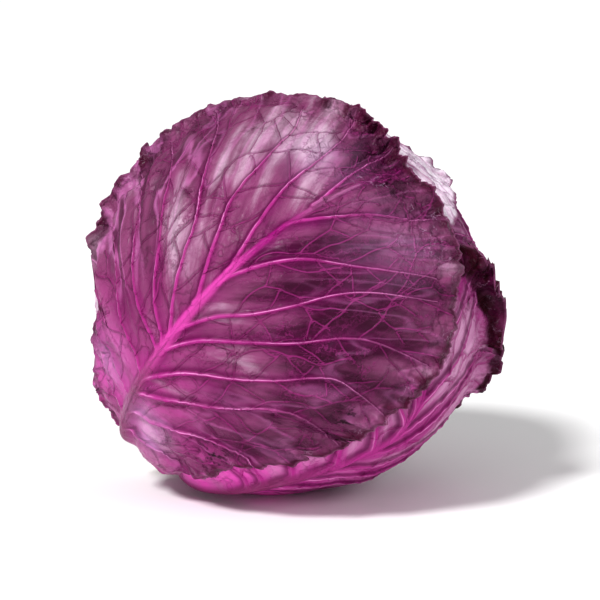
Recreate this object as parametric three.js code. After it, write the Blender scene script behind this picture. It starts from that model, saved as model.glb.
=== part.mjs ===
// A head of red cabbage, lying on its side on a small flat spot, with the cut stalk pointing down
// and back to the left. Five loose wrapper leaves are laid over the tight inner head, each a thin
// sheet with a thick midrib, raised side ribs and a waved margin that stands off the leaf below.
// Millimetres, +Z up. The origin is under the middle of the head, on the surface it rests on.
import * as THREE from "three";

const DEG = Math.PI / 180;

// Which way the stalk points from the middle of the head, and where a leaf's turn is zero
const STALK_AXIS = new THREE.Vector3(-0.6, 0.317, -0.735).normalize();
const FRONT_MERIDIAN = new THREE.Vector3(-0.512, -0.858, 0.048);

// The inner head: a ball that swells towards the stalk, is dimpled around it, and narrows to the crown
const HEART_RADIUS = 76.5;
const STALK_SWELL = 0.175;
const CROWN_NARROWING = 0.1;
const DIMPLE_DEPTH = 0.13;
const DIMPLE_WIDTH = 20;

// The leaves: blade thickness and the gap under each blade. A leaf lies DRAPE_FROM to DRAPE_TO mm
// beyond the edge of one under it before it comes down. Its margin is free to bend outwards, and its
// ribs stand up, only as far clear of later leaves as CURL_CLEAR and RELIEF_CLEAR say
const BLADE = 1.1;
const BLADE_AT_MARGIN = 0.8;
const GAP = 1.1;
const PITCH = BLADE + GAP;
const DRAPE_FROM = 8;
const DRAPE_TO = 26;
const CURL_CLEAR = [2, 11];
const RELIEF_CLEAR = [6, 20];

// A leaf is drawn flat in a map around its blade's centre, where arcs at this radius are true lengths
const MAP_RADIUS = 84;
const BASE_FROM_STALK = 12;
const PETIOLE_HALF_WIDTH = 23;
const PETIOLE_SPREAD = 0.55;
const PETIOLE_MOST = 40;
const OUTLINE_BLEND = 14;
const BOW_FROM = -10;
const BOW_TO = -85;

// Midrib and side ribs. Each side rib starts some way along the midrib and leaves it at an angle; both
// tables run from the first rib at the base, 0, to the last at the tip, 1
const MIDRIB_END = 72;
const MIDRIB_HALF_WIDTH = [8, 1];
const MIDRIB_HEIGHT = [4.5, 0.6];
const RIB_HEIGHT = [1.9, 0.7];
const RIB_STARTS = [[0, 0], [0.18, 0.3], [0.34, 0.41], [0.46, 0.51], [0.6, 0.64], [0.82, 0.86], [1, 1]];
const RIB_ANGLES = [[0, 90], [0.18, 84], [0.34, 63], [0.46, 52], [0.6, 44], [0.82, 33], [1, 0]];

// The cut stalk
const STALK_RADIUS = 15.5;
const STALK_FOOT = 81.5;
const STALK_STANDS_OUT = 14;
const STALK_BEVEL = 1.4;

// The flat spot: how much the head is flattened, how far the head's middle stands from the origin
// sideways, and the angles from straight down within which relief dies away
const FLAT_DEPTH = 1.6;
const MIDDLE_X = -2.5;
const MIDDLE_Y = -1;
const SKIN_SNAP = 0.05;
const REST_CLEAR = 18;
const REST_FADE = 30;

// Mesh fineness: columns for each rib spacing, and rows from the midrib's foot to the margin
const COLUMNS_PER_RIB = 4;
const BLADE_ROWS = [0.2, 0.4, 0.6, 0.8, 1];
const BAND_ROWS = [0.36, 0.7, 1];
const HEART_RINGS = 18;
const HEART_SEGMENTS = 32;
const STALK_SEGMENTS = 28;

// The wrapper leaves, from the innermost to the outermost. turn is how far the leaf stands round the
// stalk from the front, and centre how far its blade's centre is from the stalk, in degrees. tipX is
// where the last rib starts, band the width of margin that bends, ruffle the height of its waves, and
// bow how far the midrib swings sideways towards its base, all in mm. reach lists how far the blade
// goes in degrees from its centre, and curl how far its margin bends outwards, both at directions
// counted from the tip towards the side of rising turn.
const WRAPPERS = [
  {
    name: "wrapper_leaf_back_high",
    colour: 0x9a4f86,
    turn: 148,
    centre: 108,
    tipX: 40,
    ribs: 8,
    band: 15,
    ruffle: 2.5,
    bow: 0,
    reach: [[0, 50], [45, 58], [90, 66], [135, 66], [180, 58], [225, 66], [270, 68], [315, 60]],
    curl: [[0, 40], [60, 25], [120, 20], [180, 10], [240, 20], [300, 30]],
  },
  {
    name: "wrapper_leaf_back_low",
    colour: 0x8c4179,
    turn: -148,
    centre: 110,
    tipX: 40,
    ribs: 8,
    band: 15,
    ruffle: 2.5,
    bow: 0,
    reach: [[0, 54], [45, 64], [90, 66], [135, 64], [180, 58], [225, 64], [270, 68], [315, 60]],
    curl: [[0, 35], [60, 25], [120, 15], [180, 10], [240, 20], [300, 50]],
  },
  {
    name: "wrapper_leaf_under",
    colour: 0xb05a97,
    turn: -75,
    centre: 108,
    tipX: 40,
    ribs: 8,
    band: 21,
    ruffle: 2.2,
    bow: 27,
    reach: [
      [0, 62], [30, 60], [60, 58], [90, 56], [135, 60], [180, 66], [200, 95], [222, 94], [245, 76],
      [265, 60], [285, 48], [303, 47], [325, 51], [345, 59],
    ],
    curl: [
      [0, 80], [40, 20], [90, 10], [180, 10], [240, 25], [270, 70], [290, 100], [315, 110], [345, 110],
    ],
  },
  {
    name: "wrapper_leaf_top",
    colour: 0xc489b4,
    turn: 75,
    centre: 112,
    tipX: 62,
    ribs: 9,
    band: 15,
    ruffle: 2,
    bow: 0,
    reach: [
      [0, 94], [30, 84], [60, 70], [90, 66], [135, 62], [180, 58], [225, 64], [270, 62], [310, 70],
      [335, 86],
    ],
    curl: [[0, 12], [60, 25], [120, 20], [180, 10], [240, 10], [300, 10]],
  },
  {
    name: "wrapper_leaf_front",
    colour: 0x8f4a7c,
    turn: 0,
    centre: 112,
    tipX: 50,
    ribs: 10,
    band: 15,
    ruffle: 2.8,
    bow: 0,
    reach: [
      [0, 70], [24, 81], [58, 74], [95, 69], [125, 67], [138, 58], [146, 58], [154, 68], [180, 60],
      [207, 76], [240, 71], [268, 65], [300, 69], [330, 70],
    ],
    curl: [
      [0, 22], [18, 75], [40, 40], [95, 34], [108, 65], [125, 80], [142, 60], [152, 20], [163, 32],
      [175, 20], [190, 10], [240, 16], [300, 18], [335, 20],
    ],
  },
];

const lerp = (a, b, t) => a + (b - a) * t;
const clamp = (x, low, high) => Math.min(high, Math.max(low, x));

function smoothstep(from, to, x) {
  const t = clamp((x - from) / (to - from), 0, 1);
  return t * t * (3 - 2 * t);
}

function smoothMin(a, b, width) {
  const near = Math.max(width - Math.abs(a - b), 0);
  return Math.min(a, b) - (near * near) / (4 * width);
}

// Reads a table of [place, value] pairs, in straight stretches
function readTable(table, place) {
  const last = table.length - 1;
  if (place >= table[last][0]) return table[last][1];
  const i = table.findIndex(([at]) => at > place);
  const [a, b] = [table[i - 1], table[i]];
  return lerp(a[1], b[1], (place - a[0]) / (b[0] - a[0]));
}

// Reads a table of [degrees, value] pairs that closes on itself, with an eased step between pairs
function readRound(table, degrees) {
  const at = ((degrees % 360) + 360) % 360;
  const closed = [...table, [360 + table[0][0], table[0][1]]];
  const i = closed.findIndex(([place]) => place > at);
  const [a, b] = [closed[i - 1], closed[i]];
  const t = (at - a[0]) / (b[0] - a[0]);
  return lerp(a[1], b[1], t * t * (3 - 2 * t));
}

// The leaf's own frame: out through its blade's centre, towards its tip, and towards rising turn
function leafFrame({ turn, centre }) {
  const raised = new THREE.Vector3().crossVectors(STALK_AXIS, FRONT_MERIDIAN).normalize();
  const front = new THREE.Vector3().crossVectors(raised, STALK_AXIS);
  const meridian = front
    .multiplyScalar(Math.cos(turn * DEG))
    .addScaledVector(raised, Math.sin(turn * DEG));
  const out = STALK_AXIS.clone()
    .multiplyScalar(Math.cos(centre * DEG))
    .addScaledVector(meridian, Math.sin(centre * DEG));
  const tip = STALK_AXIS.clone()
    .multiplyScalar(-Math.sin(centre * DEG))
    .addScaledVector(meridian, Math.cos(centre * DEG));
  return { out, tip, side: new THREE.Vector3().crossVectors(out, tip) };
}

const FRAMES = WRAPPERS.map(leafFrame);

// Where the leaf's base lies in its map
const baseX = ({ centre }) => (BASE_FROM_STALK - centre) * DEG * MAP_RADIUS;

const bowAt = (leaf, x) => leaf.bow * smoothstep(BOW_FROM, BOW_TO, x);

// A point of a leaf's map as a direction from the middle of the head
function mapToDirection(index, x, straightY) {
  const frame = FRAMES[index];
  const y = straightY + bowAt(WRAPPERS[index], x);
  const arc = Math.hypot(x, y);
  const angle = arc / MAP_RADIUS;
  const share = arc > 0 ? Math.sin(angle) / arc : 0;
  return frame.out
    .clone()
    .multiplyScalar(Math.cos(angle))
    .addScaledVector(frame.tip, x * share)
    .addScaledVector(frame.side, y * share);
}

// How far a point of the map lies outside the leaf's outline, in mm; inside it is negative
function outside(leaf, x, y) {
  const reach = readRound(leaf.reach, Math.atan2(y, x) / DEG) * DEG * MAP_RADIUS;
  const blade = Math.hypot(x, y) - reach;
  const base = baseX(leaf);
  const half = Math.min(PETIOLE_HALF_WIDTH + PETIOLE_SPREAD * (x - base), PETIOLE_MOST);
  const petiole = Math.max(Math.abs(y) - half, x, base - 1 - x);
  return smoothMin(blade, petiole, OUTLINE_BLEND);
}

function outsideAt(index, direction) {
  const { out, tip, side } = FRAMES[index];
  const angle = Math.acos(clamp(direction.dot(out), -1, 1));
  const [u, v] = [direction.dot(tip), direction.dot(side)];
  const share = (angle * MAP_RADIUS) / Math.max(Math.hypot(u, v), 1e-9);
  const [leaf, x] = [WRAPPERS[index], u * share];
  return outside(leaf, x, v * share - bowAt(leaf, x));
}

function headRadius(direction) {
  const c = direction.dot(STALK_AXIS);
  const fromStalk = Math.acos(clamp(c, -1, 1)) / DEG;
  const dimple = DIMPLE_DEPTH * Math.exp(-((fromStalk / DIMPLE_WIDTH) ** 2));
  return HEART_RADIUS * (1 + (c > 0 ? STALK_SWELL : CROWN_NARROWING) * c ** 3 - dimple);
}

// Radius of whatever lies under wrapper number count: the inner head and the leaves laid before it
function stackRadius(direction, count) {
  let radius = headRadius(direction);
  for (let j = 0; j < count; j++)
    radius += PITCH * (1 - smoothstep(DRAPE_FROM, DRAPE_TO, outsideAt(j, direction)));
  return radius;
}

// 1 where a leaf is free to stand out, 0 where later leaves press on it or the head rests on it
function freedom(direction, index, clearance) {
  const fromDown = Math.acos(clamp(-direction.z, -1, 1)) / DEG;
  let free = smoothstep(REST_CLEAR, REST_FADE, fromDown);
  for (let j = index + 1; j < WRAPPERS.length; j++)
    free *= smoothstep(...clearance, outsideAt(j, direction));
  return free;
}

const DOWN = new THREE.Vector3(0, 0, -1);
const MIDDLE_Z = stackRadius(DOWN, WRAPPERS.length) - FLAT_DEPTH;
const HEAD_CENTRE = new THREE.Vector3(MIDDLE_X, MIDDLE_Y, MIDDLE_Z);

// Places a point and presses it up to its own layer's height where it would reach below the surface;
// the outermost skin goes to exactly zero
function settle(point, direction) {
  const under = stackRadius(direction, WRAPPERS.length) - point.length();
  const depth = Math.max(under - SKIN_SNAP, 0);
  const placed = point.clone().add(HEAD_CENTRE);
  placed.z = Math.max(placed.z, depth);
  return placed;
}

// The ray of a leaf's map that leaves the midrib at rib number v, on one side
function ray(leaf, side, v) {
  const angle = readTable(RIB_ANGLES, v / leaf.ribs) * DEG;
  const start = lerp(baseX(leaf), leaf.tipX, readTable(RIB_STARTS, v / leaf.ribs));
  const [dx, dy] = [Math.cos(angle), side * Math.sin(angle)];
  const step = 1;
  let length = step;
  while (outside(leaf, start + dx * length, dy * length) < 0) length += step;
  const over = outside(leaf, start + dx * length, dy * length);
  const under = outside(leaf, start + dx * (length - step), dy * (length - step));
  length -= (step * over) / (over - under);
  return { start, dx, dy, length };
}

const midribShare = (leaf, x) => clamp((x - baseX(leaf)) / (MIDRIB_END - baseX(leaf)), 0, 1);

function midribRelief(leaf, x, y) {
  const along = midribShare(leaf, x);
  const angle = Math.max(Math.hypot(x, y) / MAP_RADIUS, 1e-6);
  const aside = (Math.abs(y) * Math.sin(angle)) / angle;
  const q = aside / lerp(...MIDRIB_HALF_WIDTH, along);
  return q < 1 ? lerp(...MIDRIB_HEIGHT, along) * (1 - q * q) ** 2 * smoothstep(1, 0.94, along) : 0;
}

function ribRelief(v, share) {
  const crest = 0.5 + 0.5 * Math.cos(2 * Math.PI * v);
  return lerp(...RIB_HEIGHT, share) * crest * smoothstep(0, 0.12, share);
}

// Height of the margin's waves at rib number v; q runs from 0 at the bend to 1 at the edge
function ruffle(leaf, side, v, q) {
  const phase = 2 * Math.PI * v + side;
  const wave = 0.5 + 0.5 * Math.sin(phase + 0.8 * Math.sin(1.7 * v));
  return leaf.ruffle * q * q * wave;
}

// How far a stretch of sheet reaches forwards and upwards when it bends evenly along its length
function bentReach(bend, stretch) {
  const turned = bend * stretch;
  if (Math.abs(turned) < 1e-6) return [stretch, 0];
  return [Math.sin(turned) / bend, (1 - Math.cos(turned)) / bend];
}

// One point of a leaf: its outer and inner face at distance a along a ray
function leafPoint(index, { start, dx, dy, length }, side, v, a) {
  const leaf = WRAPPERS[index];
  const band = Math.min(leaf.band, 0.45 * length);
  const bendAt = length - band;
  const held = Math.min(a, bendAt);
  const sheetAt = (s) => {
    const d = mapToDirection(index, start + dx * s, dy * s);
    return d.multiplyScalar(stackRadius(d, index) + GAP);
  };
  const foot = sheetAt(held);
  const along = sheetAt(held + 0.5).sub(sheetAt(held - 0.5));
  const past = Math.max(a - bendAt, 0) * along.length();
  along.normalize();
  const direction = foot.clone().normalize();
  const across = direction.clone().addScaledVector(along, -direction.dot(along)).normalize();
  const [x, y] = [start + dx * a, dy * a];
  const here = mapToDirection(index, x, y);
  const free = freedom(here, index, CURL_CLEAR);
  const curl = readRound(leaf.curl, Math.atan2(y, x) / DEG) * DEG * free;
  const bend = curl / band - 1 / HEART_RADIUS;
  const normal = across
    .clone()
    .multiplyScalar(Math.cos(bend * past))
    .addScaledVector(along, -Math.sin(bend * past));
  const [forward, up] = bentReach(bend, past);
  const [restForward, restUp] = bentReach(-1 / HEART_RADIUS, past);
  const point = sheetAt(a)
    .addScaledVector(along, forward - restForward)
    .addScaledVector(across, up - restUp);
  point.addScaledVector(normal, free * ruffle(leaf, side, v, past / (band * 0.9)));
  const share = a / length;
  const bare = freedom(here, index, RELIEF_CLEAR);
  const relief = bare * Math.max(midribRelief(leaf, x, y), ribRelief(v, share));
  const thick = lerp(BLADE, BLADE_AT_MARGIN, smoothstep(0.6, 1, share));
  const surfaceDirection = point.clone().normalize();
  return {
    inner: settle(point, surfaceDirection),
    outer: settle(point.clone().addScaledVector(normal, thick + relief), surfaceDirection),
  };
}

function rowDistances(leaf, { start, length }) {
  const half = lerp(...MIDRIB_HALF_WIDTH, midribShare(leaf, start));
  const foot = Math.min(half * 1.9, length * 0.3);
  const band = Math.min(leaf.band, 0.45 * length);
  const rows = [0, foot * 0.5, foot];
  for (const share of BLADE_ROWS) rows.push(lerp(foot, length - band, share));
  for (const share of BAND_ROWS) rows.push(length - band + band * share);
  return rows;
}

// A closed thin solid from two faces with the same triangles, and a rim of two triangles an edge
function shellGeometry(outer, inner, triangles, rim) {
  const count = outer.length;
  const index = [];
  for (const [a, b, c] of triangles) index.push(a, b, c, count + a, count + c, count + b);
  rim.forEach((a, i) => {
    const b = rim[(i + 1) % rim.length];
    index.push(b, a, count + a, b, count + a, count + b);
  });
  const geometry = new THREE.BufferGeometry().setFromPoints([...outer, ...inner]);
  geometry.setIndex(index);
  geometry.computeVertexNormals();
  return geometry;
}

function leafGeometry(index) {
  const leaf = WRAPPERS[index];
  const columns = leaf.ribs * COLUMNS_PER_RIB;
  const [outer, inner, triangles] = [[], [], []];
  const grids = [];
  for (const side of [1, -1]) {
    const grid = [];
    for (let i = 0; i <= columns; i++) {
      const v = i / COLUMNS_PER_RIB;
      const line = ray(leaf, side, v);
      const shared = side < 0 && i === columns;
      grid.push(
        rowDistances(leaf, line).map((a, j) => {
          if (side < 0 && (shared || j === 0)) return grids[0][i][j];
          const point = leafPoint(index, line, side, v, a);
          outer.push(point.outer);
          inner.push(point.inner);
          return outer.length - 1;
        }),
      );
    }
    for (let i = 0; i < columns; i++)
      for (let j = 0; j + 1 < grid[i].length; j++) {
        const [a, b, c, d] = [grid[i][j], grid[i + 1][j], grid[i + 1][j + 1], grid[i][j + 1]];
        triangles.push(...(side > 0 ? [[a, b, d], [b, c, d]] : [[a, d, b], [b, d, c]]));
      }
    grids.push(grid);
  }
  const [raised, lowered] = grids;
  const rim = [
    ...raised[0].slice(0, -1),
    ...raised.map((column) => column.at(-1)),
    ...lowered.slice(0, -1).map((column) => column.at(-1)).reverse(),
    ...lowered[0].slice(1, -1).reverse(),
  ];
  return shellGeometry(outer, inner, triangles, rim.reverse());
}

// The tight inner head, as rings around the stalk from its foot to the far pole
function heartGeometry() {
  const frame = leafFrame({ turn: 0, centre: 90 });
  const points = [];
  const add = (fromStalk, turn) => {
    const d = STALK_AXIS.clone()
      .multiplyScalar(Math.cos(fromStalk))
      .addScaledVector(frame.out, Math.sin(fromStalk) * Math.cos(turn))
      .addScaledVector(frame.side, Math.sin(fromStalk) * Math.sin(turn));
    points.push(settle(d.clone().multiplyScalar(headRadius(d)), d));
  };
  add(0, 0);
  for (let ring = 1; ring < HEART_RINGS; ring++)
    for (let s = 0; s < HEART_SEGMENTS; s++)
      add((Math.PI * ring) / HEART_RINGS, (2 * Math.PI * s) / HEART_SEGMENTS);
  add(Math.PI, 0);
  const at = (ring, s) => 1 + (ring - 1) * HEART_SEGMENTS + (s % HEART_SEGMENTS);
  const last = points.length - 1;
  const index = [];
  for (let s = 0; s < HEART_SEGMENTS; s++) {
    index.push(0, at(1, s), at(1, s + 1), last, at(HEART_RINGS - 1, s + 1), at(HEART_RINGS - 1, s));
    for (let ring = 1; ring < HEART_RINGS - 1; ring++) {
      const [a, b] = [at(ring, s), at(ring, s + 1)];
      const [c, d] = [at(ring + 1, s + 1), at(ring + 1, s)];
      index.push(a, d, b, b, d, c);
    }
  }
  const geometry = new THREE.BufferGeometry().setFromPoints(points);
  geometry.setIndex(index);
  geometry.computeVertexNormals();
  return geometry;
}

// The stalk, cut square across, standing on the inner head
function stalkMesh() {
  const end = STALK_FOOT + STALK_STANDS_OUT;
  const profile = [
    [0, STALK_FOOT],
    [STALK_RADIUS, STALK_FOOT],
    [STALK_RADIUS, end - STALK_BEVEL],
    [STALK_RADIUS - STALK_BEVEL, end],
    [0, end],
  ].map(([x, y]) => new THREE.Vector2(x, y));
  const geometry = new THREE.LatheGeometry(profile, STALK_SEGMENTS);
  const mesh = new THREE.Mesh(geometry, leafMaterial(0xd9c3cf, 0.6));
  mesh.name = "cut_stalk";
  mesh.quaternion.setFromUnitVectors(new THREE.Vector3(0, 1, 0), STALK_AXIS);
  mesh.position.copy(HEAD_CENTRE);
  return mesh;
}

function leafMaterial(colour, roughness = 0.45) {
  return new THREE.MeshStandardMaterial({ color: colour, roughness, metalness: 0 });
}

const cabbage = new THREE.Group();
const heart = new THREE.Mesh(heartGeometry(), leafMaterial(0xb98bb0));
heart.name = "inner_head";
cabbage.add(heart, stalkMesh());
WRAPPERS.forEach(({ name, colour }, index) => {
  const mesh = new THREE.Mesh(leafGeometry(index), leafMaterial(colour));
  mesh.name = name;
  cabbage.add(mesh);
});

export default cabbage;
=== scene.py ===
import math

import bpy
import numpy as np
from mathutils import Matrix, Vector


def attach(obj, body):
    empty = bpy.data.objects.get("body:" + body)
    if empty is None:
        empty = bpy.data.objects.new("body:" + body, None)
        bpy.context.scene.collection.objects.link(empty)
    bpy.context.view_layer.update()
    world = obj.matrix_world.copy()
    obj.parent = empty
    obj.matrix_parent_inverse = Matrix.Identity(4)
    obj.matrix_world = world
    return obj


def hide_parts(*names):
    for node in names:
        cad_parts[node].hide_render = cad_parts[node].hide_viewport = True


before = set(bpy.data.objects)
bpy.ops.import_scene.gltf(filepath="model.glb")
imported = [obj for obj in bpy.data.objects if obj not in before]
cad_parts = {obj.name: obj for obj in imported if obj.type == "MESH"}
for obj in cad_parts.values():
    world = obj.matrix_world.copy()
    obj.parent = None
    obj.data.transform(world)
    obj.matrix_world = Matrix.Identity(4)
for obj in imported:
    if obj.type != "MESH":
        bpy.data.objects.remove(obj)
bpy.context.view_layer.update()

# A head of red cabbage on its side. Every leaf is laid out in the same way as the solid that it
# replaces: in a flat map round its blade's centre, draped over what lies under it. Lengths are in
# millimetres until a mesh is made.
MM = 0.001
DEG = math.pi / 180


def unit(v):
    return v / np.linalg.norm(v, axis=-1, keepdims=True)


def between(pair, share):
    return pair[0] + (pair[1] - pair[0]) * share


STALK_AXIS = unit(np.array((-0.6, 0.317, -0.735)))
FRONT_MERIDIAN = np.array((-0.512, -0.858, 0.048))
RAISED = unit(np.cross(STALK_AXIS, FRONT_MERIDIAN))
FRONT = np.cross(RAISED, STALK_AXIS)

# The heart: a ball that swells towards the stalk, with a dimple round it
HEART_RADIUS = 76.5
STALK_SWELL = 0.175
CROWN_NARROWING = 0.1
DIMPLE_DEPTH = 0.13
DIMPLE_WIDTH = 20

# A leaf's thickness, the gap under it, how gently it drapes over the edges of the leaves below, and how far
# outside the leaves above it its margin is free to curl and its ribs are free to stand up
BLADE = 1.1
BLADE_AT_MARGIN = 0.7
GAP = 1.1
PITCH = BLADE + GAP
DRAPE = (8, 26)
CURL_CLEAR = (2, 11)
RELIEF_CLEAR = (0, 7)

# The leaf map, with its petiole, midrib and side ribs. Pairs are for the base and the tip, and the tables
# are by share of the rib numbers, which grow from the base to the tip
MAP_RADIUS = 84
BASE_FROM_STALK = 12
PETIOLE_HALF_WIDTH = 23
PETIOLE_SPREAD = 0.55
PETIOLE_MOST = 40
OUTLINE_BLEND = 14
BOW = (-10, -85)
# Where along the map, past the petiole, the margin begins to be cut, waved and dark
CUT_FROM = (-105, -70)
FRILL_FROM = (-110, -80)
RIM_FROM = (-118, -85)
MIDRIB_END = 72
MIDRIB_HALF_WIDTH = (8, 1)
MIDRIB_HEIGHT = (5, 0.6)
RIB_WIDTH = (2.1, 0.6)
RIB_STARTS = [(0, 0), (0.18, 0.3), (0.34, 0.41), (0.46, 0.51), (0.6, 0.64), (0.82, 0.86), (1, 1)]
RIB_ANGLES = [(0, 90), (0.18, 84), (0.34, 63), (0.46, 52), (0.6, 44), (0.82, 33), (1, 0)]

# The flat spot that the head rests on
FLAT_DEPTH = 1.6
SKIN_SNAP = 0.05
MIDDLE = (-2.5, -1.0)
REST_CLEAR = (18, 30)

# The large front leaf's side ribs, each by a few points of its map, (along the midrib, aside)
FRONT_RIBS = [
    [(-104, -6), (-103, -20), (-98, -36)],
    [(-90, -6), (-80, -24), (-68, -42), (-62, -60), (-62, -78)],
    [(-75, -6), (-61, -23), (-49, -37), (-34, -50), (-26, -64), (-24, -86)],
    [(-64, -5), (-49, -16), (-36, -30), (-22, -44), (-4, -59), (0, -72), (2, -90)],
    [(-44, -5), (-33, -12), (-17, -27), (-5, -38), (18, -56), (34, -86)],
    [(-34, -2), (-22, -9), (-9, -19), (5, -27), (22, -35), (36, -45), (58, -66)],
    [(-2, -3), (10, -9), (21, -16), (33, -28), (45, -39), (66, -58)],
    [(30, -1), (43, -9), (57, -16), (72, -26), (88, -34)],
    [(-100, 6), (-98, 20), (-94, 34), (-92, 50)],
    [(-84, 6), (-82, 22), (-76, 38), (-70, 56), (-66, 76)],
    [(-66, 5), (-62, 20), (-52, 38), (-42, 56), (-38, 80)],
    [(-50, 4), (-44, 26), (-33, 43), (-20, 60), (-14, 88)],
    [(-44, 5), (-36, 18), (-22, 31), (-10, 45), (2, 62), (8, 90)],
    [(-36, 5), (-17, 18), (-3, 27), (9, 41), (20, 55), (30, 72), (36, 90)],
    [(-15, 5), (3, 17), (15, 25), (31, 31), (45, 38), (61, 48), (76, 66)],
    [(4, 3), (26, 12), (37, 16), (56, 21), (77, 30), (98, 46)],
    [(48, 2), (64, 6), (82, 10), (100, 14)],
]

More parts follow.
